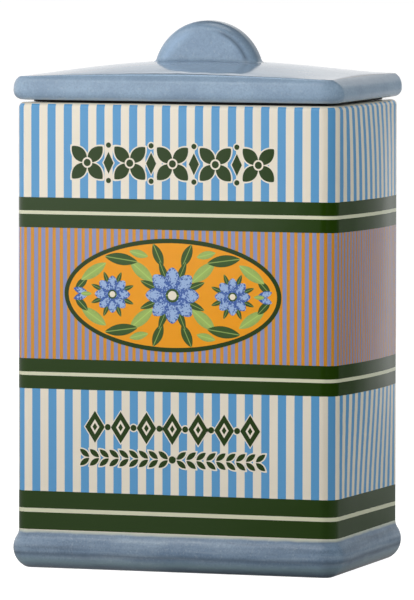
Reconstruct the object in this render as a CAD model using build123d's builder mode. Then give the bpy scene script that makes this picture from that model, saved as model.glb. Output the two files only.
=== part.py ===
from build123d import *
import os
from math import asin, cos, radians, sin, sqrt

os.makedirs("parts", exist_ok=True)

# Frame: millimetres, origin at the middle of the underside, +Z up, front face towards -Y.

# Body: a slip-cast box with rounded corners, whose two narrow sides bow gently outwards.
body_width = 120.0
body_depth = 79.5
body_corner_radius = 5.6
rim_height = 166.9
wall_thickness = 7.0
floor_thickness = 9.0
side_bow_at_foot = 0.15
side_bow_at_waist = 1.6
side_bow_at_rim = 0.5
rim_outer_radius = 2.0
rim_inner_radius = 0.8
mouth_corner_radius = 6.0
cavity_floor_radius = 5.0

# Foot: a bullnose moulding that runs into the wall through a cove.
foot_flare = 2.05
foot_nose_radius = 7.7
foot_nose_height = 7.1
foot_cove_radius = 4.5
foot_ring_width = 6.0
foot_recess_depth = 1.5
foot_recess_corner_radius = 3.0
foot_nose_steps = 8
foot_cove_steps = 4

# Lid: a slab with an arched crown. Its band rounds over above until a soft crease, and tightly below.
lid_overhang = 1.9
lid_corner_radius = 7.6
lid_gap_above_rim = 0.9
lid_crown_height = 13.5
lid_drop_to_front = 4.4
lid_drop_to_side = 5.5
lid_drop_to_corner = 5.3
lid_blank_share = 1.1
lid_blank_sections = 5
lid_lower_nose_radius = 3.2
lid_upper_nose_radius = 8.0
lid_upper_nose_height = 3.6
lid_upper_nose_angle = 60.0
lid_upper_nose_steps = 6
lid_crease_radius = 0.7
lid_shell_thickness = 4.5
lid_ceiling_rise = 3.5
ceiling_roundness_share = 0.95
ceiling_end_share = 0.9
ceiling_steps = 3

# Knob: a half-disc tab that stands across the middle of the lid.
knob_radius = 20.1
knob_thickness = 12.0
knob_rise_above_crown = 14.4
knob_edge_radius = 4.4
knob_root_radius = 1.5

# Plug under the lid: hollow, with a groove that holds the seal.
plug_drop = 14.0
plug_side_clearance = 3.0
plug_wall = 4.5
hollow_corner_radius = 3.0
plug_edge_radius = 1.2
groove_depth = 1.2
groove_height = 10.5

# Seal: a stretched elastomer band with a flange under the lid and drooping fins below it.
seal_seat_clearance = 0.15
seal_flange_lap = 3.6
seal_sleeve_proud = 0.8
seal_fin_clearance = 0.4
seal_fin_count = 3
seal_fin_root_thickness = 1.6
seal_fin_tip_thickness = 0.5
seal_fin_droop = 0.8
seal_end_margin = 0.6

# Places that follow from the sizes above.
mouth_width = body_width - 2 * wall_thickness
mouth_depth = body_depth - 2 * wall_thickness
lid_width = body_width + 2 * lid_overhang
lid_depth = body_depth + 2 * lid_overhang
lid_underside = rim_height + lid_gap_above_rim
crown_top = lid_underside + lid_crown_height
plug_width = mouth_width - 2 * plug_side_clearance
plug_depth = mouth_depth - 2 * plug_side_clearance
plug_corner_radius = mouth_corner_radius - plug_side_clearance
plug_bottom = lid_underside - plug_drop
groove_bottom = lid_underside - groove_height


def bowed_rectangle(width, depth, corner_radius, side_bow):
    """A rounded rectangle whose left and right sides are arcs that bow out between its corners."""
    straight = depth / 2 - corner_radius
    bow_radius = (straight**2 + side_bow**2) / (2 * side_bow)
    crown = width / 2 + side_bow
    end = crown - bow_radius + sqrt(bow_radius**2 - (depth / 2) ** 2)
    with BuildSketch() as outline:
        with BuildLine():
            Line((-end, -depth / 2), (end, -depth / 2))
            ThreePointArc((end, -depth / 2), (crown, 0), (end, depth / 2))
            Line((end, depth / 2), (-end, depth / 2))
            ThreePointArc((-end, depth / 2), (-crown, 0), (-end, -depth / 2))
        make_face()
        fillet(outline.vertices(), corner_radius)
    return outline.sketch


def nose_points(radius, start_angle, end_angle, steps):
    """Inset from the widest line and rise above it, at even steps round a nose."""
    angles = [start_angle + (end_angle - start_angle) * step / steps for step in range(steps + 1)]
    return [(radius - radius * cos(angle), radius * sin(angle)) for angle in angles]


# Body: the foot moulding, the bowed walls, the rim and the cavity
foot_nose_centre = foot_flare - foot_nose_radius
foot_reach = foot_nose_radius + foot_cove_radius
foot_cove_rise = sqrt(foot_reach**2 - (foot_cove_radius - foot_nose_centre) ** 2)
foot_height = foot_nose_height + foot_cove_rise
foot_contact_angle = -asin(foot_nose_height / foot_nose_radius)
foot_tangent_angle = asin(foot_cove_rise / foot_reach)
foot_nose = nose_points(foot_nose_radius, foot_contact_angle, foot_tangent_angle, foot_nose_steps)
foot_cove = nose_points(foot_cove_radius, -foot_tangent_angle, 0, foot_cove_steps)
foot_sections = [(foot_flare - inset, foot_nose_height + rise) for inset, rise in foot_nose]
foot_sections += [(outset, foot_height + rise) for outset, rise in foot_cove[1:]]
foot_ring_outset = foot_sections[0][0] - foot_ring_width
wall_sections = [
    (foot_height, side_bow_at_foot),
    ((foot_height + rim_height) / 2, side_bow_at_waist),
    (rim_height, side_bow_at_rim),
]

with BuildPart() as jar_body:
    for outset, height in foot_sections:
        width = body_width + 2 * outset
        depth = body_depth + 2 * outset
        with BuildSketch(Plane.XY.offset(height)):
            add(bowed_rectangle(width, depth, body_corner_radius + outset, side_bow_at_foot))
    loft()
    for height, side_bow in wall_sections:
        with BuildSketch(Plane.XY.offset(height)):
            add(bowed_rectangle(body_width, body_depth, body_corner_radius, side_bow))
    loft()
    fillet(jar_body.faces().sort_by(Axis.Z)[-1].edges(), rim_outer_radius)
    with BuildSketch(Plane.XY.offset(floor_thickness)):
        RectangleRounded(mouth_width, mouth_depth, mouth_corner_radius)
    extrude(amount=rim_height - floor_thickness, mode=Mode.SUBTRACT)
    cavity_floor = jar_body.faces(Select.LAST).sort_by(Axis.Z)[0]
    fillet(cavity_floor.edges(), cavity_floor_radius)
    rim_land = jar_body.faces().filter_by(Plane.XY).sort_by(Axis.Z)[-1]
    fillet(rim_land.inner_wires()[0].edges(), rim_inner_radius)
    with BuildSketch():
        RectangleRounded(
            body_width + 2 * foot_ring_outset,
            body_depth + 2 * foot_ring_outset,
            foot_recess_corner_radius,
        )
    extrude(amount=foot_recess_depth, mode=Mode.SUBTRACT)

jar_body.part.label = "jar_body"
export_step(jar_body.part, "parts/jar_body.step")

# Lid: the arched slab, its rounded edges, the knob and the hollow plug
knob_centre_height = crown_top + knob_rise_above_crown - knob_radius
ceiling_edge_height = crown_top - lid_drop_to_corner - lid_shell_thickness
hollow_width = plug_width - 2 * groove_depth - 2 * plug_wall
hollow_depth = plug_depth - 2 * groove_depth - 2 * plug_wall
lid_nose_level = lid_underside + lid_upper_nose_height
lid_nose = nose_points(lid_upper_nose_radius, 0, radians(lid_upper_nose_angle), lid_upper_nose_steps)
lid_nose_inset, lid_nose_rise = lid_nose[-1]


def crown_height(side_share, front_share):
    """Height of the crown at a share of the way from the middle to the side and to the front."""
    corner_lift = lid_drop_to_side + lid_drop_to_front - lid_drop_to_corner
    drop = lid_drop_to_side * side_share**2 + lid_drop_to_front * front_share**2
    return crown_top - drop + corner_lift * (side_share * front_share) ** 2


def arched_section(depth, base_height, ridge_height, edge_height):
    """An upright slice of the lid's blank from front to back, flat below and arched on top."""
    with BuildSketch() as outline:
        with BuildLine():
            Line((-depth / 2, edge_height), (-depth / 2, base_height))
            Line((-depth / 2, base_height), (depth / 2, base_height))
            Line((depth / 2, base_height), (depth / 2, edge_height))
            ThreePointArc((depth / 2, edge_height), (0, ridge_height), (-depth / 2, edge_height))
        make_face()
    return outline.sketch


def dome_sections(width, depth, corner_radius, base_height, rise):
    """Outlines of a pillow dome: they shrink evenly and turn rounder, and rise on a parabola."""
    sections = []
    for step in range(ceiling_steps + 1):
        share = ceiling_end_share * step / ceiling_steps
        section_width = width * (1 - share)
        section_depth = depth * (1 - share)
        rounding = corner_radius * (1 - share) ** 2 + ceiling_roundness_share * share * section_depth / 2
        height = base_height + rise * (1 - (1 - share) ** 2)
        sections.append((section_width, section_depth, rounding, height))
    return sections


with BuildPart() as lid:
    with BuildSketch(Plane.XY.offset(lid_underside)):
        RectangleRounded(lid_width, lid_depth, lid_corner_radius)
    extrude(amount=lid_upper_nose_height)
    for inset, rise in lid_nose:
        with BuildSketch(Plane.XY.offset(lid_nose_level + rise)):
            RectangleRounded(lid_width - 2 * inset, lid_depth - 2 * inset, lid_corner_radius - inset)
    loft()
    with BuildSketch(Plane.XY.offset(lid_nose_level + lid_nose_rise)):
        RectangleRounded(
            lid_width - 2 * lid_nose_inset,
            lid_depth - 2 * lid_nose_inset,
            lid_corner_radius - lid_nose_inset,
        )
    extrude(amount=lid_crown_height - lid_upper_nose_height - lid_nose_rise)
    for station in range(lid_blank_sections):
        share = lid_blank_share * (2 * station / (lid_blank_sections - 1) - 1)
        ridge_height = crown_height(share, 0)
        edge_height = crown_height(share, lid_blank_share)
        with BuildSketch(Plane.YZ.offset(share * lid_width / 2)):
            add(arched_section(lid_blank_share * lid_depth, lid_underside, ridge_height, edge_height))
    loft(mode=Mode.INTERSECT)
    fillet(lid.faces().sort_by(Axis.Z)[-1].edges(), lid_crease_radius)
    fillet(lid.faces().sort_by(Axis.Z)[0].edges(), lid_lower_nose_radius)
    with BuildSketch(Plane.XY.offset(knob_centre_height)) as knob_profile:
        Rectangle(knob_radius, knob_thickness, align=(Align.MIN, Align.CENTER))
        fillet(knob_profile.vertices().group_by(Axis.X)[-1], knob_edge_radius)
    revolve(axis=Axis((0, 0, knob_centre_height), (0, -1, 0)), revolution_arc=180)
    fillet(lid.edges(Select.NEW), knob_root_radius)
    with BuildSketch(Plane.XY.offset(groove_bottom)):
        RectangleRounded(
            plug_width - 2 * groove_depth,
            plug_depth - 2 * groove_depth,
            plug_corner_radius - groove_depth,
        )
    extrude(amount=groove_height)
    with BuildSketch(Plane.XY.offset(plug_bottom)):
        RectangleRounded(plug_width, plug_depth, plug_corner_radius)
    extrude(amount=plug_drop - groove_height)
    with BuildSketch(Plane.XY.offset(plug_bottom)):
        RectangleRounded(hollow_width, hollow_depth, hollow_corner_radius)
    extrude(amount=ceiling_edge_height - plug_bottom, mode=Mode.SUBTRACT)
    fillet(lid.faces().sort_by(Axis.Z)[0].edges(), plug_edge_radius)
    ceiling = dome_sections(
        hollow_width, hollow_depth, hollow_corner_radius, ceiling_edge_height, lid_ceiling_rise
    )
    for width, depth, rounding, height in ceiling:
        with BuildSketch(Plane.XY.offset(height)):
            RectangleRounded(width, depth, rounding)
    loft(mode=Mode.SUBTRACT)

lid.part.label = "lid"
export_step(lid.part, "parts/lid.step")

# Seal: the flange, the sleeve in the groove and the fins
flange_bottom = rim_height + seal_seat_clearance
sleeve_width = plug_width + 2 * seal_sleeve_proud
sleeve_depth = plug_depth + 2 * seal_sleeve_proud
sleeve_corner_radius = plug_corner_radius + seal_sleeve_proud
fin_width = mouth_width - 2 * seal_fin_clearance
fin_depth = mouth_depth - 2 * seal_fin_clearance
fin_corner_radius = mouth_corner_radius - seal_fin_clearance
fin_span = flange_bottom - groove_bottom - 2 * seal_end_margin
fin_pitch = (fin_span - seal_fin_root_thickness - seal_fin_droop) / seal_fin_count

with BuildPart() as lid_seal:
    with BuildSketch(Plane.XY.offset(flange_bottom)):
        RectangleRounded(
            mouth_width + 2 * seal_flange_lap,
            mouth_depth + 2 * seal_flange_lap,
            mouth_corner_radius + seal_flange_lap,
        )
    extrude(amount=lid_underside - flange_bottom)
    with BuildSketch(Plane.XY.offset(groove_bottom)):
        RectangleRounded(sleeve_width, sleeve_depth, sleeve_corner_radius)
    extrude(amount=groove_height)
    for fin in range(1, seal_fin_count + 1):
        root_top = flange_bottom - seal_end_margin - fin * fin_pitch
        tip_top = root_top - seal_fin_droop
        root_size = (sleeve_width, sleeve_depth, sleeve_corner_radius)
        tip_size = (fin_width, fin_depth, fin_corner_radius)
        for height, size in (
            (root_top, root_size),
            (tip_top, tip_size),
            (tip_top - seal_fin_tip_thickness, tip_size),
            (root_top - seal_fin_root_thickness - seal_fin_droop, root_size),
        ):
            with BuildSketch(Plane.XY.offset(height)):
                RectangleRounded(*size)
        loft(ruled=True)
    with BuildSketch(Plane.XY.offset(groove_bottom)):
        RectangleRounded(
            plug_width - 2 * groove_depth,
            plug_depth - 2 * groove_depth,
            plug_corner_radius - groove_depth,
        )
    extrude(amount=groove_height, mode=Mode.SUBTRACT)

lid_seal.part.label = "lid_seal"
export_step(lid_seal.part, "parts/lid_seal.step")
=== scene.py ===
"""A glazed ceramic storage jar with a lift-off lid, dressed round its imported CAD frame."""

from math import asin, atan2, copysign, cos, pi, radians, sin, sqrt

import bmesh
import bpy
from bpy.props import FloatProperty, FloatVectorProperty, IntProperty, PointerProperty
from mathutils import Matrix, Vector


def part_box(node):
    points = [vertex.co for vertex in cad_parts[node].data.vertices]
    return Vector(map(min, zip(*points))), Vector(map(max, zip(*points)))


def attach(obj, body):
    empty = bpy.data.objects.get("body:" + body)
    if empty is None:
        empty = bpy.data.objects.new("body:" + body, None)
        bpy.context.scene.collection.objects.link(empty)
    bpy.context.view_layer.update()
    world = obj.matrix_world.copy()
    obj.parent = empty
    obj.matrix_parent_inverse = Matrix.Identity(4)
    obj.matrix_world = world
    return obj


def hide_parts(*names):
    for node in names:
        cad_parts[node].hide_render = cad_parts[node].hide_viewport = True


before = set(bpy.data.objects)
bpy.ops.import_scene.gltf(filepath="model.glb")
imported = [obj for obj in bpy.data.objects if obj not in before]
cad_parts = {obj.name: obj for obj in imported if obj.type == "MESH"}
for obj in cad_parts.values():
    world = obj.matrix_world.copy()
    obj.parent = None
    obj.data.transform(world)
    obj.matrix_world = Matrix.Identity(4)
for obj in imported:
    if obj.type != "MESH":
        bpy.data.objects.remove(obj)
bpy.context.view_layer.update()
rim_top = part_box("jar_body")[1].z

bl_info = {
    "name": "Lidded ceramic jar",
    "version": (1, 0, 0),
    "blender": (4, 5, 0),
    "location": "3D View > Sidebar > Jar",
    "description": "Makes the printed jar and its glazed lid, and sets up the studio",
    "category": "Object",
}

MM = 0.001

# Meshes: faces along each stretch of the body's outline, the distances that count as none, and the least crease
SIDE_STEPS = 6
NOSE_STEPS = 14
COVE_STEPS = 6
WALL_ROWS = 20
RIM_STEPS = 6
RIM_INNER_STEPS = 4
FLOOR_STEPS = 8
MERGE = 0.01 * MM
LEVEL = 0.001 * MM
CREASE = radians(40)

# The body's glazes in their order, and how far the clay and the inside's glaze reach over their edges
PRINTED, FOOT, INSIDE, CLAY = range(4)
RING_TOP = 0.2 * MM
RECESS_MARGIN = 0.1 * MM
RIM_FLAT = 0.3 * MM

# Where the shift of the sides' print sets in: over this height above the middle band, and this way past the corner
SHIFT_RISE = 40 * MM
SHIFT_RUN = 8 * MM

# The lid's rounded ends: cuts across the slab, the curve's power, how far past the edge of the top it still holds,
# and how much that edge rises for each bit that it bows inwards
EASE_CUTS = 16
EASE_POWER = 3
EASE_OVER = 1.2
EASE_SLOPE = 0.22

# Random patterns in the materials: (size, detail, roughness, lowest and highest value that shows, and for a tint its
# tone and share), the ones that are drawn out, and the least that the grain leaves of the runs
PATTERNS = {
    "swell": (16 * MM, 1, 0.5),
    "peel": (2.2 * MM, 2, 0.5),
    "cream_clouds": (30 * MM, 3, 0.5, 0.35, 0.65, 0.965, 1),
    "inside_clouds": (30 * MM, 3, 0.5, 0.35, 0.65, 0.95, 1),
    "blue_clouds": (12 * MM, 4, 0.6, 0.3, 0.7, 1, 1),
    "speckle": (0.7 * MM, 3, 0.7, 0.42, 0.7, 0.72, 0.5),
    "flecks": (0.9 * MM, 1, 0.5, 0.6, 0.74, 1, 0.16),
    "drift": (20 * MM, 2, 0.5),
    "dark_runs": (4.2 * MM, 3, 0.6, 0.48, 0.66, 0.42, 0.6),
    "pale_runs": (4.2 * MM, 3, 0.6, 0.46, 0.32, 1, 0.36),
    "run_grain": (1.1 * MM, 3, 0.7, 0.3, 0.7),
    "foot_edge": (6 * MM, 2, 0.5),
    "ink_clouds": (4 * MM, 3, 0.5, 0.3, 0.7, 0.75, 0.16),
    "ink_grain": (0.6 * MM, 2, 0.6, 0.35, 0.65),
    "clay": (0.6 * MM, 3, 0.7, 0.35, 0.7, 0.8, 1),
    "haze": (4 * MM, 3, 0.6, 0.4, 0.7),
    "dust": (0.5 * MM, 2, 0.5),
    "floor": (0.4, 2, 0.5, 0, 1, 1.02, 1),
}
STRETCHES = {"drift": (1, 1, 0.3), "dark_runs": (0.07, 0.07, 1), "pale_runs": (0.07, 0.07, 1)}
RUN_GRAIN_LEAST = 0.4

# Unevenness of the surfaces: (strength, height), and the share of the fine orange peel in the glaze's
BUMPS = {"glaze": (0.16, 0.6 * MM), "clay": (0.4, 0.2 * MM), "rubber": (0.15, 0.1 * MM)}
PEEL_SHARE = 0.12

# Lines along the mouldings: (height, reach, share, colour, tone). On the lid they are where the blue glaze breaks
# thin or pools, and its heights are above the rim. On the foot they are partly pooled and thin glaze and partly
# painted light and shade, set to its tones at each height: the lighter, greener band low down is partly painted
# light, and the darker lines are partly painted shade. Then how far the upper edge of the foot's glaze wanders, and
# over how much it fades into the cream.
FOOT_LINES_WITH_PAINTED_LIGHT = (
    (2.6 * MM, 2.4 * MM, 0.6, "foot_low", 1), (5.6 * MM, 1.3 * MM, 0.6, "foot_deep", 0.45),
    (12.2 * MM, 0.9 * MM, 0.2, "foot_deep", 1), (0.3 * MM, 1.2 * MM, 0.12, "foot_deep", 0.45),
)
LID_LINES = ((1.3 * MM, 0.9 * MM, 0.35, "glaze_thin", 1), (9.3 * MM, 3.0 * MM, 0.32, "glaze_deep", 0.75))
FOOT_EDGE_WANDER = 0.8 * MM
FOOT_EDGE_FADE = 0.9 * MM

# The lid's softened edges, and the painted reflections at the edge of its top up to a height above the rim: a dark
# line all round and a light line, a painted highlight, on the long sides only:
# (how far the glaze faces up, reach, share, tone, whether only the long sides have it)
SOFTENING = 1.6 * MM
SOFTENING_SAMPLES = 8
ARRIS_TOP = 11.6 * MM
ARRIS_SIDEWAYS = (0.15, 0.4)
ARRIS_PAINTED_REFLECTIONS = ((0.93, 0.05, 0.9, 0.3, False), (0.80, 0.06, 0.8, 1.9, True))

# Painted shade and a painted highlight round the knob: dark lines on its right side, a light line on its left.
# Where they begin above its middle and over how much they fade in:
# (radius, reach, share, side, how far to that side they begin, tone)
KNOB_FROM = (5 * MM, 7 * MM)
KNOB_FADE = 4 * MM
KNOB_PAINTED_SHADE_AND_HIGHLIGHT = (
    (17.0 * MM, 1.1 * MM, 0.75, 1, 4 * MM, 0.4), (19.9 * MM, 2.0 * MM, 0.5, 1, -6 * MM, 0.4),
    (16.2 * MM, 2.6 * MM, 0.33, -1, 3 * MM, 1.9),
)

# Printed shapes: the lighter line, the dark edge and the dotted highlight across a leaf or a petal
MIDRIB_SHARE = 0.8
LEAF_EDGE = (0.25, 0.9)
LEAF_EDGE_SHARE = 0.5
LEAF_EDGE_TONE = 0.6
LEAF_TIP_TONE = 1.3
DOTS_PLACE = 0.3
DOTS_SLOPE = 0.3
DOTS_LEAST = 0.3

# Rubber: how much lighter its haze is, and the haze's values with the roughness that they give
HAZE_GAIN = 1.6
HAZE_LIFT = 0.002
HAZE_ROUGHNESS = (0.3, 0.7, 0.48, 0.62)

# Printed ornaments, in mm and degrees from the middle of each. Sizes are half sizes, along and across. The nested
# lozenges and the eyes also have their layer and their ink.
LINE, FILL = range(2)
PLATE_SIDES = 36
SHARED_LEVELS = 5
LOZENGE_MARGIN = 0.3
QUATREFOILS = (-32, -16, 0, 16, 32)
QUATREFOIL_RADIUS = 4.2
QUATREFOIL_PETAL = (3.9, 2.3)
QUATREFOIL_POINT = 0.75
UPPER_LOZENGES = (-24, -8, 8, 24)
UPPER_LOZENGE = (1.9, 3.9)
UPPER_BEAD_RISE = 6.3
LOWER_PITCH = 9.7
LOWER_LOZENGE = (3.7, 5.7)
NESTED_LOZENGES = ((1.7, 2.7, 3, LINE), (0.9, 1.4, 4, FILL))
LEAF_ROW = 9
LEAF_START = 3.4
LEAF_PITCH = 3.7
LEAF_RISE = 1.55
LEAF = (2.2, 0.95)
LEAF_TURN = 38
LEAF_POINT = 0.8
EYES = ((1.9, 3, LINE), (1.3, 4, FILL))
BEADS = {"upper": 0.95, "lower": 1.1, "leaf_row": 1.3}

# The oval. Flowers: (across, scale). A flower's rings of eight: (radius, half length, half width, first turn,
# layer, ink, point), and its eyes: (radius, layer, ink). Leaves in all four quarters, the last a bud, and one leaf
# at each end: (across, up, half length, half width, turn, layer, ink, point).
BORDER, GROUND, PETAL, LIGHT_LEAF, DARK_LEAF, EYE = range(6)
OVAL_SIDES = 120
FLOWERS = ((0, 1.3), (-22.5, 0.86), (22.5, 0.86))
FLOWER_RINGS = ((6.6, 3.4, 1.0, 22, 4, DARK_LEAF, 0.7), (4.3, 3.4, 2.1, 0, 5, PETAL, 0.35))
FLOWER_EYES = ((1.9, 6, DARK_LEAF), (1.25, 7, EYE))
LEAVES = (
    (11.6, 8.4, 5.6, 2.2, 40, 3, LIGHT_LEAF, 0.75), (19.2, 12.6, 6.2, 2.1, 8, 3, DARK_LEAF, 0.75),
    (29.6, 8.0, 5.6, 2.0, -34, 3, LIGHT_LEAF, 0.75), (5.4, 14.2, 4.4, 1.8, 66, 3, DARK_LEAF, 0.75),
    (12.6, 14.6, 3.6, 1.4, 14, 3, LIGHT_LEAF, 0.75), (34.2, 3.6, 3.4, 1.4, -46, 3, DARK_LEAF, 0.75),
    (34.4, 1.0, 2.9, 1.2, 18, 4, PETAL, 0.7),
)
BUD_LEAF = (32.4, 0, 2.0, 0.8, 0, 5, LIGHT_LEAF, 0.6)

# Lamps, all turned to one place: (name, place, size, power, tint), and the light from all round
LAMP_TARGET = Vector((0, 0, 0.12))
LAMPS = (
    ("key_softbox", (-0.80, -0.38, 0.20), 0.4, 1.7, (1, 1, 1)),
    ("front_softbox", (-0.03, -0.40, 0.25), 0.36, 1.42, (1, 1, 1)),
    ("top_softbox", (-0.49, 0.18, 0.86), 0.5, 3.0, (1, 1, 1)),
    ("side_softbox", (0.80, 0.30, 0.26), 0.4, 3.6, (0.95, 1.0, 1.0)),
    ("back_softbox", (-0.3, 0.9, 0.45), 0.8, 4.0, (1, 1, 1)),
)
AMBIENT = 0.10

# The floor: its reach, its tone for light and as seen, and the glow that is mixed into what is seen
FLOOR_REACH = 8
FLOOR_TONE = (0.25, 0.25, 0.25)
FLOOR_SEEN = (0.98, 0.98, 0.98)
FLOOR_GLOW = 1.62
FLOOR_GLOW_SHARE = 0.6

# The drum of flats that only the glaze mirrors: its size, the heights between which its levels blend, and the
# distance from the jar over which the near table turns into the far one. Its tones are listed as (bearing from
# the front in degrees, wall above the second level, wall's foot and table's far part, table near the jar).
SCREEN_RADIUS = 0.9
SCREEN_HEIGHT = 1.5
SCREEN_SIDES = 96
SCREEN_LIFT = 0.2 * MM
SCREEN_TOP = (0.72, 0.84)
SCREEN_LEVELS = (0.005, 0.085)
CEILING_TONE = 0.05
CEILING_THICKNESS = 10 * MM
TABLE_THICKNESS = 1 * MM
TABLE_REACH = (0.35, 0.8)
SCREEN_TONES = (
    (-180, 0.66, 0.58, 0.35), (-168, 1.0, 0.62, 0.35), (-60, 0.95, 0.50, 0.36), (-22, 1, 0.46, 0.37),
    (-18, 0.84, 0.36, 0.36), (-15.8, 0.77, 0.28, 0.35), (-13.7, 0.33, 0.12, 0.35), (-9, 0.15, 0.08, 0.25),
    (-5, 0.05, 0.05, 0.20), (2, 0, 0, 0.16), (28, 0, 0, 0.12), (33, 0.10, 0.05, 0.12),
    (40, 0.06, 0.02, 0.10), (66, 0, 0, 0.16), (100, 0.02, 0, 0.22), (128, 0.10, 0, 0.22),
    (145, 0.15, 0.04, 0.18), (149, 0.18, 0.07, 0.22), (152, 0.20, 0.18, 0.25), (157, 0.26, 0.33, 0.27),
    (161, 0.32, 0.43, 0.28), (164, 0.40, 0.50, 0.30), (167, 0.60, 0.55, 0.30), (170, 0.65, 0.56, 0.30),
    (180, 0.66, 0.58, 0.32),
)

# Lights in the drum. A round panel overhead: (even to this radius, faded out at this one), and its tone. Glows on
# the flats: (height, reach up and down, bearing, half width of the even part, half width where it has faded, tone)
PANEL_REACH = (0.3, 0.5)
PANEL_TONE = 2.0
GLOWS = ((1.0, 0.3, -35, 30, 60, 2.2), (0.68, 0.12, -165, 8, 14, 1.9))


def shade(colour, tone):
    """A colour made darker or lighter."""
    return [part * tone for part in colour]


def linear(red, green, blue):
    """A screen colour from 0 to 255 as the linear colour that shaders use."""
    parts = [value / 255 for value in (red, green, blue)]
    return [part / 12.92 if part <= 0.04045 else ((part + 0.055) / 1.055) ** 2.4 for part in parts]


# Settings for the panel

def rows(kind, read, lines, **options):
    """Properties from rows of (description, default). The key gives each its name."""
    return {
        key: kind(name=key.replace("_", " ").capitalize(), description=text, default=read(*value), **options)
        for key, (text, *value) in lines.items()
    }


def lengths(**lines):
    """Lengths, given in mm."""
    return rows(FloatProperty, lambda value: value * MM, lines, unit="LENGTH", precision=5)


def angles(**lines):
    """Angles, given in degrees."""
    return rows(FloatProperty, radians, lines, subtype="ANGLE")


def tints(**lines):
    """Colours, given by their screen values."""
    return rows(FloatVectorProperty, linear, lines, subtype="COLOR")


# Sizes and colours that a user would change

class JarShape(bpy.types.PropertyGroup):
    """The body's outline, from the CAD frame's box and the mouldings' sizes."""

    __annotations__ = lengths(
        width=("Front wall, corner to corner", 120),
        depth=("Side wall, corner to corner", 79.5),
        rim_height=("Top of the rim", rim_top / MM),
        corner_radius=("Upright corners, outside", 5.6),
        bow=("How far the two side walls bow out at most", 2.1),
        bow_start=("Height from which they bow out", 22),
        bow_full=("Height at which they bow out most", 72),
        bow_fade=("Height above which the bow fades towards the rim", 105),
        bow_rim=("How far they bow out at the rim", 0.5),
        wall=("Thickness of the wall", 7),
        floor=("Thickness of the floor", 9),
        mouth_radius=("Upright corners, inside", 6),
        floor_radius=("Rounding between the floor and the wall", 5),
        rim_outer_radius=("Rounding of the rim, outside", 2),
        rim_inner_radius=("Rounding of the rim, inside", 0.8),
        foot_flare=("How far the foot stands proud of the wall", 2.05),
        foot_radius=("Bullnose of the foot", 7.7),
        foot_nose_height=("Height of the foot's widest line", 7.1),
        foot_cove=("Hollow between the foot and the wall", 4.5),
        foot_ring=("Width of the ring that the jar stands on", 6),
        foot_recess=("Depth of the recess inside the ring", 1.5),
        recess_radius=("Upright corners of the recess", 3),
        knob_height=("Height of the middle of the knob's circle", 175.6),
        lid_widest=("Height of the slab's widest line at its ends", rim_top / MM + 3.2),
        lid_nose_rise=("From there to the edge of the slab's top", 6.4),
        lid_ease=("How far in that edge lies at the corners", 3.9),
        lid_ease_bow=("How much further in it lies at the middle of each end", 2.3),
    )
    arc_steps: IntProperty(name="Arc steps", description="Faces round each corner", default=14)


class PrintLayout(bpy.types.PropertyGroup):
    """The printed stripes and bands, as heights above the base and widths."""

    __annotations__ = lengths(
        stripe_pitch=("One blue and one cream stripe", 6.15),
        stripe_upper=("Middle of a blue stripe, right of the front's middle", 3.35),
        stripe_lower=("The same in the lower section", 3.66),
        pinch_pitch=("One orange and one lavender stripe", 2.74),
        pinch_place=("Middle of an orange stripe", -1.03),
        upper_band_low=("Height", 122.3),
        upper_band_high=("Height", 133.1),
        middle_band_low=("Height", 64.6),
        middle_band_high=("Height", 75.4),
        lower_band_low=("Height", 14.05),
        lower_band_high=("Height", 27.9),
        line_width=("Cream line in each band", 1.25),
        lower_line_width=("Cream line in the lowest band", 1.45),
        rim_margin=("Bare glaze between the stripes and the top of the rim", 0.45),
        foot_edge=("Height at which the blue glaze ends in cream", 13.0),
        middle=("How far right of the front's middle the ornaments sit", -0.35),
        garland_height=("Height of its middle", 145.8),
        oval_height=("Height of its middle", 99.04),
        oval_half_width=("With its border", 40.6),
        oval_half_height=("With its border", 20.2),
        oval_border=("Width of the green border", 1.6),
        lozenge_height=("Height of its middle", 51.5),
        leaf_row_height=("Height of its middle", 40.5),
        outline=("Cream line round each green shape", 0.45),
        ink_step=("How far each layer of colour stands above the last", 0.02),
        side_shift=("How far the upper stripes of the sides sit towards the back", 1.1),
        droop=("How far the print runs down towards the back of each side", 1.0),
    ) | rows(FloatProperty, float, dict(
        pinch_share=("Orange part of the narrow pitch", 0.46),
        side_share=("Print on the sides, tightened by this share", 1.06),
    ))


class JarColours(bpy.types.PropertyGroup):
    """Glaze and print colours."""

    __annotations__ = tints(
        cream=("Clear glaze over the white body", 234, 225, 207),
        blue=("Wide stripes", 91, 154, 202),
        orange=("Narrow stripes", 208, 143, 48),
        lavender=("Narrow stripes", 136, 146, 188),
        green=("Bands and ornaments", 35, 59, 9),
        line=("Thin line in each band", 214, 214, 186),
        oval=("Field of the oval", 240, 158, 24),
        glaze_light=("Lid, where it lies thick", 153, 176, 198),
        foot_line=("Cream line above the foot, under a breath of blue", 196, 200, 186),
        # The next colour is partly painted light: a greener tone of the glaze, made lighter to brighten the foot's
        # lower, downward-facing part
        foot_low=("Greener runs below the foot's widest line", 146, 172, 178),
        foot_light=("Where it ran thin", 136, 156, 176),
        foot_deep=("Where it pooled", 108, 130, 154),
        glaze_deep=("Lid, cloudier patches", 137, 159, 182),
        glaze_thin=("Where it breaks over an edge", 196, 208, 214),
        petal=("Flowers in the oval", 66, 98, 168),
        petal_tip=("Light stipple on the petals", 168, 194, 228),
        leaf_light=("Leaves in the oval", 158, 184, 96),
        leaf_dark=("Leaves in the oval", 58, 88, 38),
        bisque=("The ring that the jar stands on", 214, 204, 188),
        rubber=("Black silicone", 8, 8, 9),
    )


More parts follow.
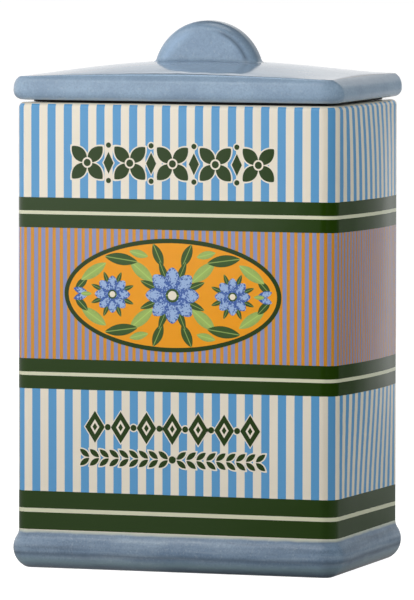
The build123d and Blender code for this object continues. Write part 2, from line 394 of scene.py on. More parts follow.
class StudioView(bpy.types.PropertyGroup):
    """The photograph's camera."""

    __annotations__ = angles(
        turn=("Camera towards the right side", 18.391),
        tilt=("Camera above the horizon", 3.925),
        roll=("Camera about its own axis", 0.066),
    )
    place: FloatVectorProperty(
        name="Place", description="Camera position", default=(0.7562, -2.27629, 0.25948), subtype="XYZ", unit="LENGTH"
    )
    lens: FloatProperty(name="Lens", description="Focal length", default=400.25, unit="CAMERA")


def settings(context):
    """The scene's shape, print and colours."""
    return context.scene.jar_shape, context.scene.jar_print, context.scene.jar_colours


# Mesh helpers

def sweep_round(mesh, shape, profile, outset, corner_radius):
    """Carries a profile round a rounded rectangle: extruded along the sides, spun round the corners.

    The profile's points are (outset, height), from a rectangle that lies outside the wall by the other outset.
    The run starts and ends at the middle of the back. Returns the edges of its first and last point's rings."""
    back = shape.depth / 2 + outset
    x, y = shape.width / 2 + outset - corner_radius, back - corner_radius
    start = [mesh.verts.new((0, back + out, height)) for out, height in profile]
    front = [mesh.edges.new(pair) for pair in zip(start, start[1:])]
    made_verts = list(start)
    runs = (
        (Vector((-x, 0, 0)), (-x, y, 0), SIDE_STEPS),
        (Vector((0, -2 * y, 0)), (-x, -y, 0), SIDE_STEPS),
        (Vector((2 * x, 0, 0)), (x, -y, 0), 2 * SIDE_STEPS),
        (Vector((0, 2 * y, 0)), (x, y, 0), SIDE_STEPS),
        (Vector((-x, 0, 0)), None, SIDE_STEPS),
    )
    for run, centre, steps in runs:
        for _ in range(steps):
            made = bmesh.ops.extrude_edge_only(mesh, edges=front)["geom"]
            verts = [part for part in made if isinstance(part, bmesh.types.BMVert)]
            front = [part for part in made if isinstance(part, bmesh.types.BMEdge) and set(part.verts) <= set(verts)]
            bmesh.ops.translate(mesh, verts=verts, vec=run / steps)
            made_verts += verts
        if centre:
            verts = list({vert for edge in front for vert in edge.verts})
            old = set(mesh.verts)
            turned = bmesh.ops.spin(
                mesh, geom=verts + front, cent=centre, axis=(0, 0, 1), angle=pi / 2, steps=shape.arc_steps
            )["geom_last"]
            front = [part for part in turned if isinstance(part, bmesh.types.BMEdge)]
            made_verts += [vert for vert in mesh.verts if vert not in old]
    bmesh.ops.remove_doubles(mesh, verts=made_verts, dist=MERGE)
    kept = [vert for vert in made_verts if vert.is_valid]
    return ring_edges(kept, profile[0][1]), ring_edges(kept, profile[-1][1])


def ring_edges(verts, height):
    """Open edges at one height."""
    edges = {edge for vert in verts for edge in vert.link_edges if edge.is_boundary}
    return [edge for edge in edges if all(abs(vert.co.z - height) < LEVEL for vert in edge.verts)]


def arc(out, height, radius, start, end, steps):
    """(outset, height) at even steps round an arc about its centre."""
    turns = [start + (end - start) * step / steps for step in range(steps + 1)]
    return [(out + radius * cos(turn), height + radius * sin(turn)) for turn in turns]


def held(value):
    """A value held between 0 and 1."""
    return max(0.0, min(1.0, value))


def new_object(name, mesh, materials):
    """An object in the scene with the bmesh's shape. The bmesh is freed."""
    data = bpy.data.meshes.new(name)
    mesh.to_mesh(data)
    mesh.free()
    for material in materials:
        data.materials.append(material)
    made = bpy.data.objects.new(name, data)
    bpy.context.scene.collection.objects.link(made)
    return made


def finished_piece(name, mesh, materials, body):
    """Turns a bmesh into a smooth-shaded object that rides on a CAD body."""
    bmesh.ops.recalc_face_normals(mesh, faces=mesh.faces)
    piece = new_object(name, mesh, materials)
    piece.data.polygons.foreach_set("use_smooth", [True] * len(piece.data.polygons))
    piece.data.set_sharp_from_angle(angle=CREASE)
    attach(piece, body)
    return piece


# Material helpers

class Nodes:
    """A tree of shader nodes, put together node by node."""

    def __init__(self, tree):
        self.tree = tree

    def node(self, kind, inputs=None, **settings):
        """A node of that kind, with its settings made and its inputs fed."""
        node = self.tree.nodes.new("ShaderNode" + kind)
        for setting, value in settings.items():
            setattr(node, setting, value)
        for socket, value in (inputs or {}).items():
            self.feed(node.inputs[socket], value)
        return node

    def feed(self, socket, value):
        """Links a socket, or sets its value."""
        if isinstance(value, bpy.types.NodeSocket):
            self.tree.links.new(value, socket)
        elif socket.type == "RGBA":
            socket.default_value = (*value[:3], 1)
        else:
            socket.default_value = value

    def math(self, operation, *values):
        """One arithmetic step."""
        return self.node("Math", dict(enumerate(values)), operation=operation).outputs[0]

    def times(self, *values):
        """The first value times the second."""
        return self.math("MULTIPLY", *values)

    def apart(self, first, second):
        """How far two values lie apart."""
        return self.math("ABSOLUTE", self.math("SUBTRACT", first, second))

    def span(self, *values):
        """The length of the vector with these parts."""
        vector = self.node("CombineXYZ", dict(enumerate(values))).outputs[0]
        return self.node("VectorMath", {0: vector}, operation="LENGTH").outputs["Value"]

    def mix(self, share, first, second):
        """The second colour over the first, by its share."""
        return self.node("Mix", {0: share, 6: first, 7: second}, data_type="RGBA").outputs[2]

    def spread(self, value, low, high, to_low=0.0, to_high=1.0, **settings):
        """A value's range moved to another range, and held inside it."""
        return self.node("MapRange", {0: value, 1: low, 2: high, 3: to_low, 4: to_high}, **settings).outputs[0]

    def seen(self):
        """1 for what the camera sees, also mirrored or through glass, 0 for the light that falls on things."""
        path = self.node("LightPath").outputs
        indirect = self.math("MAXIMUM", path["Is Glossy Ray"], path["Is Transmission Ray"])
        return self.math("MAXIMUM", path["Is Camera Ray"], indirect)


class Finish(Nodes):
    """One material, which reads the place on the object."""

    def __init__(self, name, **uniform):
        self.material = bpy.data.materials.new(name)
        self.material.use_nodes = True
        super().__init__(self.material.node_tree)
        self.shader = self.tree.nodes["Principled BSDF"]
        self.output = self.tree.nodes["Material Output"].inputs[0]
        self.place = self.node("TexCoord").outputs["Object"]
        for socket, value in uniform.items():
            self.shader.inputs[socket.replace("_", " ")].default_value = value

    def parts(self, vector=None):
        """The three parts of a vector, or of the place."""
        return self.node("SeparateXYZ", {0: vector or self.place}).outputs

    def map(self, name):
        """Across and up in one of the piece's own maps."""
        return self.parts(self.node("UVMap", uv_map=name).outputs[0])[:2]

    def noise(self, pattern):
        """One of the random patterns, soft clouds from 0 to 1."""
        size, detail, roughness = PATTERNS[pattern][:3]
        stretch = STRETCHES.get(pattern, (1, 1, 1))
        spot = self.node("Mapping", {"Vector": self.place, "Scale": stretch}).outputs[0]
        inputs = {"Vector": spot, "Scale": 1 / size, "Detail": detail, "Roughness": roughness}
        return self.node("TexNoise", inputs).outputs[0]

    def clouds(self, pattern, to_low=0.0, to_high=1.0):
        """One of the random patterns, spread out over the values that show."""
        return self.spread(self.noise(pattern), *PATTERNS[pattern][3:5], to_low, to_high)

    def over(self, paint, pattern, tint, grain=1.0):
        """The paint, tinted by one of the random patterns, as far as the grain lets it."""
        tone, most = PATTERNS[pattern][5:]
        return self.mix(self.times(self.clouds(pattern, 0.0, most), grain), paint, shade(tint, tone))

    def line(self, value, middle, reach, most):
        """A soft line where the value is near the middle, and nothing beyond its reach."""
        return self.spread(self.apart(value, middle), 0.0, reach, most, 0.0)

    def between(self, value, low, high):
        """1 where the value lies between two limits, 0 elsewhere."""
        return self.math("COMPARE", value, (low + high) / 2, (high - low) / 2)

    def stripes(self, along, pitch, place, share=0.5):
        """1 on stripes that fill a share of the pitch, centred on a place."""
        wave = self.math("PINGPONG", self.math("SUBTRACT", along, place), pitch / 2)
        return self.math("LESS_THAN", wave, pitch * share / 2)

    def bump(self, height, kind, normal=None):
        """A slight unevenness of the surface."""
        strength, distance = BUMPS[kind]
        inputs = {"Height": height, "Strength": strength, "Distance": distance}
        if normal is not None:
            inputs["Normal"] = normal
        return self.node("Bump", inputs).outputs[0]

    def paint(self, paint, normal=None, roughness=None):
        """Feeds the shader and returns the material."""
        for socket, value in (("Base Color", paint), ("Normal", normal), ("Roughness", roughness)):
            if value is not None:
                self.feed(self.shader.inputs[socket], value)
        return self.material

    def glazed(self, paint, normal=None):
        """The material with the gentle ripple of a poured glaze and its fine orange peel."""
        waves = self.math("MULTIPLY_ADD", self.noise("peel"), PEEL_SHARE, self.noise("swell"))
        return self.paint(paint, self.bump(waves, "glaze", normal))


def printed_glaze(shape, layout, colours):
    """Cream glaze over transfer-printed stripes and bands. It reads the piece's print map."""
    finish = Finish("printed_glaze", Roughness=0.09, IOR=1.5)
    along, height = finish.map("print")
    cream = finish.over(colours.cream, "cream_clouds", colours.cream)
    is_upper = finish.math("GREATER_THAN", height, layout.upper_band_low)
    shift = layout.stripe_upper - layout.stripe_lower
    place = finish.math("MULTIPLY_ADD", is_upper, shift, layout.stripe_lower)
    paint = finish.mix(finish.stripes(along, layout.stripe_pitch, place), cream, colours.blue)
    narrow = finish.stripes(along, layout.pinch_pitch, layout.pinch_place, layout.pinch_share)
    pinch = finish.mix(narrow, colours.lavender, colours.orange)
    paint = finish.mix(finish.between(height, layout.middle_band_high, layout.upper_band_low), paint, pinch)
    lines = {"upper": layout.line_width, "middle": layout.line_width, "lower": layout.lower_line_width}
    for band, line in lines.items():
        low, high = getattr(layout, band + "_band_low"), getattr(layout, band + "_band_high")
        margin = (high - low - line) / 2
        paint = finish.mix(finish.between(height, low, high), paint, colours.green)
        paint = finish.mix(finish.between(height, low + margin, high - margin), paint, colours.line)
    paint = finish.mix(finish.math("LESS_THAN", height, layout.lower_band_low), paint, cream)
    margin = finish.math("GREATER_THAN", finish.parts()[2], shape.rim_height - layout.rim_margin)
    return finish.glazed(finish.mix(margin, paint, cream))


def plain_glaze(colours):
    """Cream glaze with nothing printed under it, for the inside."""
    finish = Finish("cream_glaze", Roughness=0.1, IOR=1.5)
    return finish.glazed(finish.over(colours.cream, "inside_clouds", colours.cream))


def blue_glaze(name, colours, light, deep):
    """Blue-grey glaze: cloudy, finely speckled and flecked. Returns the material begun and its paint."""
    finish = Finish(name, Roughness=0.1, IOR=1.5)
    paint = finish.over(light, "blue_clouds", deep)
    paint = finish.over(paint, "speckle", deep)
    return finish, finish.over(paint, "flecks", colours.glaze_thin)


def moulding_lines(finish, paint, colours, lines, base=0.0):
    """Adds the lines along the mouldings, at their heights above the base."""
    drift = finish.noise("drift")
    for level, reach, most, tint, tone in lines:
        wandering = finish.math("MULTIPLY_ADD", drift, reach, base + level - reach / 2)
        mark = finish.line(finish.parts()[2], wandering, reach, most)
        paint = finish.mix(mark, paint, shade(getattr(colours, tint), tone))
    return paint


def foot_glaze(layout, colours):
    """The foot's glaze: it runs along the moulding, pools in a dark line low down and ends in the cream glaze. Its
    bands also hold painted light and shade.
    """
    finish, paint = blue_glaze("foot_glaze", colours, colours.foot_light, colours.foot_deep)
    grain = finish.clouds("run_grain", RUN_GRAIN_LEAST)
    paint = finish.over(paint, "dark_runs", colours.foot_deep, grain)
    paint = finish.over(paint, "pale_runs", colours.glaze_thin, grain)
    # Bands along the foot: pooled and thin glaze, with painted light low down and painted shade
    paint = moulding_lines(finish, paint, colours, FOOT_LINES_WITH_PAINTED_LIGHT)
    level = finish.math("MULTIPLY_ADD", finish.noise("foot_edge"), FOOT_EDGE_WANDER, finish.parts()[2])
    edge = finish.spread(level, layout.foot_edge, layout.foot_edge + FOOT_EDGE_FADE)
    return finish.glazed(finish.mix(edge, paint, colours.foot_line))


def lid_glaze(shape, colours):
    """The lid's glaze, with softened edges, painted reflections along the edge of its top, and painted shade and a
    painted highlight round the knob.
    """
    light, deep = colours.glaze_light, colours.glaze_deep
    finish, paint = blue_glaze("lid_glaze", colours, light, deep)
    paint = moulding_lines(finish, paint, colours, LID_LINES, shape.rim_height)
    across, _, height = finish.parts()
    rounded = finish.node("Bevel", {"Radius": SOFTENING}, samples=SOFTENING_SAMPLES).outputs[0]
    sideways, _, upwards = finish.parts(rounded)
    slab = finish.math("LESS_THAN", height, shape.rim_height + ARRIS_TOP)
    long_sides = finish.spread(finish.math("ABSOLUTE", sideways), *ARRIS_SIDEWAYS, 1.0, 0.0)
    # Painted reflections: a dark line where the softened edge begins to turn down, and a painted highlight on the
    # long sides
    for facing, reach, most, tone, long_only in ARRIS_PAINTED_REFLECTIONS:
        mark = finish.times(finish.line(upwards, facing, reach, most), slab)
        mark = finish.times(mark, long_sides) if long_only else mark
        paint = finish.mix(mark, paint, shade(light, tone))
    rise = finish.math("SUBTRACT", height, shape.knob_height)
    above = finish.spread(rise, *KNOB_FROM)
    # Painted shade: dark lines on the knob's right side; painted highlight: a light line on its left
    for radius, reach, most, side, side_from, tone in KNOB_PAINTED_SHADE_AND_HIGHLIGHT:
        mark = finish.times(finish.line(finish.span(rise, across), radius, reach, most), above)
        aside = finish.spread(finish.times(across, side), side_from, side_from + KNOB_FADE)
        paint = finish.mix(finish.times(mark, aside), paint, shade(deep, tone))
    return finish.glazed(paint, rounded)


def ink(name, base, accent=None, midrib=0.0, stipple=0.0):
    """Printed colour under the glaze, shaded across each shape of the piece's motif map.

    Midrib is the half width of a lighter line along a leaf, stipple the strength of a dotted highlight."""
    finish = Finish(name, Roughness=0.09, IOR=1.5)
    paint = finish.over(base, "ink_clouds", base)
    along, across = finish.map("motif")
    if midrib:
        offset = finish.math("ABSOLUTE", across)
        paint = finish.mix(finish.spread(offset, midrib / 2, midrib, MIDRIB_SHARE, 0.0), paint, accent)
        edge = finish.times(finish.spread(offset, *LEAF_EDGE), finish.clouds("ink_grain"))
        paint = finish.mix(finish.times(edge, LEAF_EDGE_SHARE), paint, shade(base, LEAF_EDGE_TONE))
    if stipple:
        reach = finish.span(finish.math("SUBTRACT", along, DOTS_PLACE), across)
        value = finish.math("SUBTRACT", finish.noise("ink_grain"), finish.times(reach, DOTS_SLOPE))
        dots = finish.math("GREATER_THAN", value, DOTS_LEAST)
        paint = finish.mix(finish.times(dots, stipple), paint, accent)
    return finish.glazed(paint)


def bare_clay(colours):
    """Unglazed, sanded clay with fine grog."""
    finish = Finish("bare_clay", Roughness=0.85)
    paint = finish.over(colours.bisque, "clay", colours.bisque)
    return finish.paint(paint, finish.bump(finish.noise("clay"), "clay"))


def black_rubber(colours):
    """Matt black silicone with a little dust and moulding haze."""
    finish = Finish("black_rubber", Specular_IOR_Level=0.2)
    hazy = [part + HAZE_LIFT for part in shade(colours.rubber, HAZE_GAIN)]
    paint = finish.mix(finish.clouds("haze"), colours.rubber, hazy)
    roughness = finish.spread(finish.noise("haze"), *HAZE_ROUGHNESS)
    return finish.paint(paint, finish.bump(finish.noise("dust"), "rubber"), roughness)


# Operators, one for each piece or group of like pieces

class JAR_OT_body(bpy.types.Operator):
    """Make the body with its foot, rim, inside and print map"""

    bl_idname = "jar.body"
    bl_label = "Jar body"

    def execute(self, context):
        shape, layout, colours = settings(context)
        mesh = bmesh.new()
        profile, foot_height = self.outer_profile(shape)
        outer_low, outer_high = sweep_round(mesh, shape, profile, 0.0, shape.corner_radius)
        self.bow_sides(mesh, shape)
        inner_high, inner_low = sweep_round(
            mesh, shape, self.inner_profile(shape), -shape.wall, shape.mouth_radius
        )
        ring = profile[0][0] - shape.foot_ring
        recess_low, recess_high = sweep_round(
            mesh, shape, [(0, 0), (0, shape.foot_recess)], ring, shape.recess_radius
        )
        bmesh.ops.bridge_loops(mesh, edges=outer_high + inner_high)
        bmesh.ops.bridge_loops(mesh, edges=outer_low + recess_low)
        bmesh.ops.edgeloop_fill(mesh, edges=inner_low)
        bmesh.ops.edgeloop_fill(mesh, edges=recess_high)
        self.lay_print_map(mesh, shape, layout)
        self.choose_glaze(mesh, shape, foot_height)
        materials = [printed_glaze(shape, layout, colours), foot_glaze(layout, colours)]
        materials += [plain_glaze(colours), bare_clay(colours)]
        piece = finished_piece("glazed_jar", mesh, materials, "jar")
        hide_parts("jar_body")
        return {"FINISHED"}

    def outer_profile(self, shape):
        """(outset, height) from the foot's underside to the top of the rim, and the height of the foot's top."""
        nose, nose_height = shape.foot_flare - shape.foot_radius, shape.foot_nose_height
        reach = shape.foot_radius + shape.foot_cove
        cove_rise = sqrt(reach**2 - (shape.foot_cove - nose) ** 2)
        foot_height = nose_height + cove_rise
        contact, tangent = -asin(nose_height / shape.foot_radius), asin(cove_rise / reach)
        wall_top = shape.rim_height - shape.rim_outer_radius
        profile = arc(nose, nose_height, shape.foot_radius, contact, tangent, NOSE_STEPS)
        profile[0] = (profile[0][0], 0.0)
        profile += arc(shape.foot_cove, foot_height, shape.foot_cove, pi + tangent, pi, COVE_STEPS)[1:]
        profile += [(0, foot_height + (wall_top - foot_height) * row / WALL_ROWS) for row in range(1, WALL_ROWS)]
        profile += arc(-shape.rim_outer_radius, wall_top, shape.rim_outer_radius, 0, pi / 2, RIM_STEPS)
        return profile, foot_height

    def inner_profile(self, shape):
        """(outset, height) from the top of the rim down to the edge of the floor."""
        rim, edge = shape.rim_inner_radius, shape.floor_radius
        profile = arc(rim, shape.rim_height - rim, rim, pi / 2, pi, RIM_INNER_STEPS)
        return profile + arc(-edge, shape.floor + edge, edge, 0, -pi / 2, FLOOR_STEPS)

    def bow_sides(self, mesh, shape):
        """Pushes the two narrow walls out, most between the knee and the shoulder."""
        for vert in mesh.verts:
            rise = held((vert.co.z - shape.bow_start) / (shape.bow_full - shape.bow_start))
            fade = max(0.0, (vert.co.z - shape.bow_fade) / (shape.rim_height - shape.bow_fade))
            bow = shape.bow * rise**2 * (3 - 2 * rise) - (shape.bow - shape.bow_rim) * fade**4
            across = 1 - (vert.co.y / (shape.depth / 2 - shape.corner_radius)) ** 2
            if across > 0 and abs(vert.co.x) > shape.width / 2 - shape.corner_radius:
                vert.co.x += copysign(bow * across, vert.co.x)

    def lay_print_map(self, mesh, shape, layout):
        """Maps the outer wall: along it from the front's middle, and its height, with the sides' print moved down."""
        chart = mesh.loops.layers.uv.new("print")
        half_girth = self.girth(shape, 0.0, shape.depth)
        for face in mesh.faces:
            middle = face.calc_center_median()
            home = self.girth(shape, middle.x, middle.y)
            for loop in face.loops:
                spot = loop.vert.co
                along = self.girth(shape, spot.x, spot.y)
                if abs(along - home) > half_girth:
                    along = -along
                beyond = max(0.0, abs(along) - shape.width / 2 - shape.corner_radius * (pi / 2 - 1))
                above = held((spot.z - layout.middle_band_high) / SHIFT_RISE)
                shift = (layout.side_share - 1) * beyond - layout.side_shift * above * min(1.0, beyond / SHIFT_RUN)
                tightened = along + shift * (1 if along > 0 else -1)
                loop[chart].uv = (tightened, spot.z + layout.droop * self.droop_share(shape, along))

    def girth(self, shape, x, y):
        """Distance along the wall from the front's middle, positive to the right, negative to the left."""
        straight_x, straight_y = shape.width / 2 - shape.corner_radius, shape.depth / 2 - shape.corner_radius
        quarter = shape.corner_radius * pi / 2
        if abs(y) <= straight_y:
            along = straight_x + quarter + straight_y - abs(y)
        elif abs(x) <= straight_x:
            along = abs(x)
        else:
            along = straight_x + shape.corner_radius * atan2(abs(x) - straight_x, abs(y) - straight_y)
        if y > 0:
            along = 2 * (straight_x + quarter + straight_y) - along
        return along if x >= 0 else -along

    def droop_share(self, shape, along):
        """0 on the front, 1 on the back, and an even slope along each side."""
        start = shape.width / 2 - shape.corner_radius
        run = shape.depth - 2 * shape.corner_radius + shape.corner_radius * pi
        return held((abs(along) - start) / run)

    def choose_glaze(self, mesh, shape, foot_height):
        """Gives each face its glaze: printed wall, blue foot, cream inside, bare clay below."""
        inner_x = shape.width / 2 - shape.wall + shape.rim_inner_radius
        inner_y = shape.depth / 2 - shape.wall + shape.rim_inner_radius
        for face in mesh.faces:
            middle = face.calc_center_median()
            inside = abs(middle.x) < inner_x and abs(middle.y) < inner_y
            if middle.z < shape.foot_recess + RECESS_MARGIN and inside or middle.z < RING_TOP:
                face.material_index = CLAY
            elif inside or middle.z > shape.rim_height - RIM_FLAT:
                face.material_index = INSIDE
            else:
                face.material_index = FOOT if middle.z < foot_height else PRINTED


class JAR_OT_lid(bpy.types.Operator):
    """Make the glazed lid, with its knob and its plug, and round its ends off"""

    bl_idname = "jar.lid"
    bl_label = "Lid"

    def execute(self, context):
        shape, _, colours = settings(context)
        mesh = bmesh.new()
        mesh.from_mesh(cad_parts["lid"].data)
        bmesh.ops.remove_doubles(mesh, verts=mesh.verts, dist=MERGE)
        self.ease_ends(mesh, shape)
        for face in mesh.faces:
            face.material_index = 0
        piece = finished_piece("glazed_lid", mesh, [lid_glaze(shape, colours)], "lid_unit")
        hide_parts("lid")
        return {"FINISHED"}

    def ease_ends(self, mesh, shape):
        """Rounds the slab's two ends off in a long curve, up to an edge that bows inwards."""
        end = max(vert.co.x for vert in mesh.verts)
        front = max(vert.co.y for vert in mesh.verts)
        deepest = shape.lid_ease + shape.lid_ease_bow
        for side in (-1, 1):
            for cut in range(1, EASE_CUTS + 1):
                whole = mesh.verts[:] + mesh.edges[:] + mesh.faces[:]
                place = (side * (end - deepest * cut / EASE_CUTS), 0, 0)
                bmesh.ops.bisect_plane(mesh, geom=whole, dist=0.0, plane_co=place, plane_no=(1, 0, 0))
        for vert in mesh.verts:
            bow = shape.lid_ease_bow * (1 - (vert.co.y / front) ** 2)
            rise = (vert.co.z - shape.lid_widest) / (shape.lid_nose_rise + EASE_SLOPE * bow)
            if not 0 < rise < EASE_OVER:
                continue
            reach = shape.lid_ease + bow
            limit = end - min(reach, reach * rise**EASE_POWER)
            if abs(vert.co.x) > limit:
                vert.co.x = copysign(limit, vert.co.x)


class Stencil:
    """Thin printed plates on the front wall, layer on layer, with each shape's own motif map.

    Places, sizes and turns are in mm and degrees from the stencil's middle, at its height."""

    def __init__(self, shape, layout, height):
        self.mesh = bmesh.new()
        self.chart = self.mesh.loops.layers.uv.new("motif")
        self.middle = Vector((layout.middle, -shape.depth / 2, height))
        self.step = layout.ink_step
        self.outline = layout.outline / MM
        self.count = 0

    def plate(self, place, size, turn, layer, paint, point=0.0, sides=PLATE_SIDES):
        """An ellipse, or a lens with its ends drawn out to points, or a lozenge with four sides."""
        self.count += 1
        level = (layer + self.count % SHARED_LEVELS / (SHARED_LEVELS + 1)) * self.step
        old = set(self.mesh.faces)
        verts = bmesh.ops.create_circle(self.mesh, cap_ends=True, segments=sides, radius=1.0)["verts"]
        for vert in verts:
            vert.co.y *= 1 - point + point * abs(vert.co.y)
        front = bmesh.ops.extrude_face_region(self.mesh, geom=[verts[0].link_faces[0]])["geom"]
        raised = [part for part in front if isinstance(part, bmesh.types.BMVert)]
        lay = Matrix.Translation(self.middle + Vector((place[0], 0, place[1])) * MM)
        lay = lay @ Matrix.Rotation(radians(-turn), 4, "Y") @ Matrix.Diagonal((size[0] * MM, 1, size[1] * MM, 1))
        made = [new for new in self.mesh.faces if new not in old]
        for new in made:
            new.material_index = paint
            for loop in new.loops:
                loop[self.chart].uv = loop.vert.co.xy
        for vert in {vert for new in made for vert in new.verts}:
            height = level if vert in raised else -self.step
            spot = lay @ Vector((vert.co.x, 0, vert.co.y))
            vert.co = (spot.x, self.middle.y - height, spot.z)

    def outlined(self, place, size, turn=0, point=0.0, sides=PLATE_SIDES):
        """A green shape with its cream outline, on layers 1 and 2."""
        across = self.outline * (1 + LOZENGE_MARGIN * (sides == 4))
        self.plate(place, (size[0] + self.outline * (1 + point), size[1] + across), turn, 1, LINE, point, sides)
        self.plate(place, size, turn, 2, FILL, point, sides)

    def bead(self, place, kind):
        """An outlined round bead."""
        self.outlined(place, (BEADS[kind], BEADS[kind]))

    def piece(self, name, materials):
        """The finished piece, which rides on the jar."""
        return finished_piece(name, self.mesh, materials, "jar")


class JAR_OT_garland(bpy.types.Operator):
    """Print the green ornaments above and below the oval"""

    bl_idname = "jar.garland"
    bl_label = "Green ornaments"

    def execute(self, context):
        shape, layout, colours = settings(context)
        inks = [ink("outline_ink", colours.cream), ink("green_ink", colours.green)]
        upper = Stencil(shape, layout, layout.garland_height)
        for across in QUATREFOILS:
            self.quatrefoil(upper, across)
        for across in UPPER_LOZENGES:
            upper.outlined((across, 0), UPPER_LOZENGE, sides=4)
            for side in (-1, 1):
                upper.bead((across, side * UPPER_BEAD_RISE), "upper")
        upper.piece("upper_ornament", inks)
        lower = Stencil(shape, layout, layout.lozenge_height)
        for place in range(-3, 4):
            lower.outlined((place * LOWER_PITCH, 0), LOWER_LOZENGE, sides=4)
            for long, wide, layer, paint in NESTED_LOZENGES:
                lower.plate((place * LOWER_PITCH, 0), (long, wide), 0, layer, paint, sides=4)
        for place in range(-3, 3):
            lower.bead(((place + 0.5) * LOWER_PITCH, 0), "lower")
        height = (layout.leaf_row_height - layout.lozenge_height) / MM
        lower.bead((0, height), "leaf_row")
        for side in (-1, 1):
            for place in range(LEAF_ROW):
                for lean in (-1, 1):
                    middle = (side * (LEAF_START + place * LEAF_PITCH), height + lean * LEAF_RISE)
                    lower.outlined(middle, LEAF, side * lean * LEAF_TURN, LEAF_POINT)
        lower.piece("lower_ornament", inks)
        return {"FINISHED"}

    def quatrefoil(self, stencil, across):
        """Four petals in a cross and a bead."""
        for turn in range(45, 360, 90):
            middle = (across + QUATREFOIL_RADIUS * cos(radians(turn)), QUATREFOIL_RADIUS * sin(radians(turn)))
            stencil.outlined(middle, QUATREFOIL_PETAL, turn, QUATREFOIL_POINT)
        for radius, layer, paint in EYES:
            stencil.plate((across, 0), (radius, radius), 0, layer, paint)


class JAR_OT_oval(bpy.types.Operator):
    """Print the oval with its border, its flowers and its leaves"""

    bl_idname = "jar.oval"
    bl_label = "Oval"

    def execute(self, context):
        shape, layout, colours = settings(context)
        leaf_tip = shade(colours.leaf_light, LEAF_TIP_TONE)
        materials = [
            ink("oval_border_ink", colours.green),
            ink("oval_ground_ink", colours.oval),
            ink("petal_ink", colours.petal, colours.petal_tip, stipple=0.8),
            ink("light_leaf_ink", colours.leaf_light, leaf_tip, midrib=0.12),
            ink("dark_leaf_ink", colours.leaf_dark, colours.leaf_light, midrib=0.1),
            ink("flower_eye_ink", colours.cream),
        ]
        oval = Stencil(shape, layout, layout.oval_height)
        for inset, layer, paint in ((0.0, 1, BORDER), (layout.oval_border, 2, GROUND)):
            size = ((layout.oval_half_width - inset) / MM, (layout.oval_half_height - inset) / MM)
            oval.plate((0, 0), size, 0, layer, paint, sides=OVAL_SIDES)
        self.spray(oval)
        for across, size in FLOWERS:
            self.flower(oval, across, size)
        oval.piece("oval_print", materials)
        return {"FINISHED"}

    def flower(self, oval, across, scale):
        """Eight blue petals on green sepals, with a cream eye."""
        for radius, long, wide, first, layer, paint, point in FLOWER_RINGS:
            for turn in range(first, 360, 45):
                place = (across + radius * cos(radians(turn)) * scale, radius * sin(radians(turn)) * scale)
                oval.plate(place, (long * scale, wide * scale), turn, layer, paint, point)
        for radius, layer, paint in FLOWER_EYES:
            oval.plate((across, 0), (radius * scale, radius * scale), 0, layer, paint)

    def spray(self, oval):
        """Mirrored leaves round the flowers, and a bud at each end."""
        for side in (-1, 1):
            leaves = [(lean, row) for lean in (-1, 1) for row in LEAVES] + [(1, BUD_LEAF)]
            for lean, (across, up, long, wide, turn, layer, paint, point) in leaves:
                oval.plate((side * across, lean * up), (long, wide), turn * lean * side, layer, paint, point)


class JAR_OT_seal(bpy.types.Operator):
    """Finish the seal in black silicone"""

    bl_idname = "jar.seal"
    bl_label = "Seal rubber"

    def execute(self, context):
        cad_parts["lid_seal"].material_slots[0].material = black_rubber(context.scene.jar_colours)
        return {"FINISHED"}


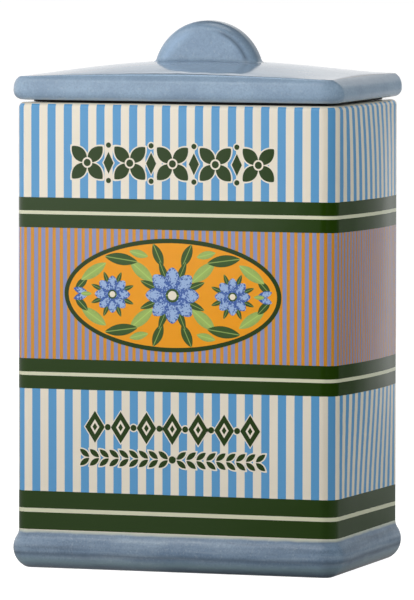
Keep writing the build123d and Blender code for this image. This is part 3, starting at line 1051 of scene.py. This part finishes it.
class JAR_OT_stage(bpy.types.Operator):
    """Set up the floor, the lamps, the world and the photograph's camera"""

    bl_idname = "jar.stage"
    bl_label = "Studio"

    def execute(self, context):
        self.camera(context, context.scene.jar_view)
        self.world(context)
        self.floor()
        self.screen()
        for lamp in LAMPS:
            self.lamp(context, *lamp)
        context.scene.view_settings.view_transform = "Standard"
        return {"FINISHED"}

    def camera(self, context, view):
        """Places the camera by its turn, tilt and roll, all about the photograph's frame."""
        data = bpy.data.cameras.new("photo_camera")
        data.sensor_width = 36
        data.lens = view.lens
        data.clip_end = 100
        camera = bpy.data.objects.new("photo_camera", data)
        context.scene.collection.objects.link(camera)
        aim = Matrix.Rotation(view.turn, 4, "Z") @ Matrix.Rotation(pi / 2 - view.tilt, 4, "X")
        camera.matrix_world = Matrix.Translation(view.place) @ aim @ Matrix.Rotation(view.roll, 4, "Z")
        context.scene.camera = camera

    def world(self, context):
        """Plain light from all round, white where the camera or a reflection meets it."""
        world = bpy.data.worlds.new("studio")
        context.scene.world = world
        world.use_nodes = True
        nodes = Nodes(world.node_tree)
        ambient = nodes.tree.nodes["Background"].inputs
        nodes.feed(ambient["Color"], (1, 1, 1))
        nodes.feed(ambient["Strength"], nodes.spread(nodes.seen(), 0.0, 1.0, AMBIENT, 1.0))

    def floor(self):
        """A wide pale floor that takes the jar's shadow."""
        mesh = bmesh.new()
        bmesh.ops.create_grid(mesh, x_segments=1, y_segments=1, size=FLOOR_REACH)
        finish = Finish("pale_floor", Roughness=0.9)
        seen = finish.seen()
        finish.paint(finish.mix(seen, finish.over(FLOOR_TONE, "floor", FLOOR_TONE), FLOOR_SEEN))
        glow = finish.node("Emission", {"Color": (1, 1, 1), "Strength": FLOOR_GLOW}).outputs[0]
        blend = {0: finish.times(seen, FLOOR_GLOW_SHARE), 1: finish.shader.outputs[0], 2: glow}
        finish.feed(finish.output, finish.node("MixShader", blend).outputs[0])
        floor = new_object("floor", mesh, [finish.material])

    def screen(self):
        """A drum of studio flats round the jar, with its glows and a panel overhead: only reflections see it."""
        mesh = bmesh.new()
        bmesh.ops.create_cone(
            mesh, cap_ends=True, segments=SCREEN_SIDES, radius1=SCREEN_RADIUS, radius2=SCREEN_RADIUS,
            depth=SCREEN_HEIGHT, matrix=Matrix.Translation((0, 0, SCREEN_HEIGHT / 2 + SCREEN_LIFT)),
        )
        finish = Finish("studio_flats")
        x, y, height = finish.parts()
        bearing = finish.math("ARCTAN2", x, finish.times(y, -1.0))
        high, low, near = (self.tones(finish, bearing, column) for column in (1, 2, 3))
        wall = finish.mix(finish.spread(height, *SCREEN_LEVELS), low, high)
        tone = finish.mix(finish.spread(height, *SCREEN_TOP), wall, [CEILING_TONE] * 3)
        for middle, reach, centre, even, faded, glow in GLOWS:
            upright = finish.spread(
                finish.apart(height, middle), 0.0, reach, 1.0, 0.0, interpolation_type="SMOOTHSTEP"
            )
            turn = finish.apart(bearing, radians(centre))
            across = finish.spread(turn, radians(even), radians(faded), 1.0, 0.0)
            tone = finish.mix(finish.times(upright, across), tone, [glow] * 3)
        ceiling = finish.math("GREATER_THAN", height, SCREEN_HEIGHT - CEILING_THICKNESS)
        panel = finish.spread(finish.span(x, y), *PANEL_REACH, 1.0, 0.0)
        tone = finish.mix(finish.times(ceiling, panel), tone, [PANEL_TONE] * 3)
        table = finish.mix(finish.spread(finish.span(x, y, height), *TABLE_REACH), near, low)
        tone = finish.mix(finish.math("LESS_THAN", height, TABLE_THICKNESS), tone, table)
        finish.feed(finish.output, finish.node("Emission", {"Color": tone}).outputs[0])
        screen = new_object("reflection_screen", mesh, [finish.material])
        for rays in ("camera", "diffuse", "shadow", "transmission"):
            setattr(screen, "visible_" + rays, False)

    def tones(self, finish, bearing, column):
        """One column of the drum's tones, blended between its bearings."""
        ramp = finish.node("ValToRGB", {0: finish.spread(bearing, -pi, pi)})
        stops = ramp.color_ramp.elements
        while len(stops) < len(SCREEN_TONES):
            stops.new(1.0)
        for stop, row in zip(stops, SCREEN_TONES):
            stop.position = (row[0] + 180) / 360
            stop.color = (row[column], row[column], row[column], 1)
        return ramp.outputs[0]

    def lamp(self, context, name, place, size, power, tint):
        """A square softbox that faces the target. The glaze mirrors the drum of flats instead of it."""
        data = bpy.data.lights.new(name, "AREA")
        data.size = size
        data.energy = power
        data.color = tint
        lamp = bpy.data.objects.new(name, data)
        lamp.location = place
        lamp.visible_camera = False
        lamp.visible_glossy = False
        lamp.rotation_mode = "QUATERNION"
        lamp.rotation_quaternion = (LAMP_TARGET - lamp.location).to_track_quat("-Z", "Y")
        context.scene.collection.objects.link(lamp)


class VIEW3D_PT_jar(bpy.types.Panel):
    """Lists the jar's sizes, colours and steps"""

    bl_label = "Ceramic jar"
    bl_space_type = "VIEW_3D"
    bl_region_type = "UI"
    bl_category = "Jar"

    def draw(self, context):
        for name in ("jar_shape", "jar_print", "jar_colours", "jar_view"):
            group = getattr(context.scene, name)
            box = self.layout.box()
            for key in group.bl_rna.properties.keys():
                if key not in ("rna_type", "name"):
                    box.prop(group, key)
        for operator in OPERATORS:
            self.layout.operator(operator.bl_idname)


GROUPS = {"jar_shape": JarShape, "jar_print": PrintLayout, "jar_colours": JarColours, "jar_view": StudioView}
OPERATORS = (JAR_OT_body, JAR_OT_garland, JAR_OT_oval, JAR_OT_lid, JAR_OT_seal, JAR_OT_stage)
CLASSES = (*GROUPS.values(), *OPERATORS, VIEW3D_PT_jar)


def register():
    """Registers the classes and hangs their settings on the scene."""
    for kind in CLASSES:
        bpy.utils.register_class(kind)
    for name, group in GROUPS.items():
        setattr(bpy.types.Scene, name, PointerProperty(type=group))


def unregister():
    """Takes away what register added."""
    for name in GROUPS:
        delattr(bpy.types.Scene, name)
    for kind in reversed(CLASSES):
        bpy.utils.unregister_class(kind)


def main():
    """Makes every piece in order."""
    register()
    bpy.ops.jar.body()
    bpy.ops.jar.garland()
    bpy.ops.jar.oval()
    bpy.ops.jar.lid()
    bpy.ops.jar.seal()
    bpy.ops.jar.stage()


if __name__ == "__main__":
    main()
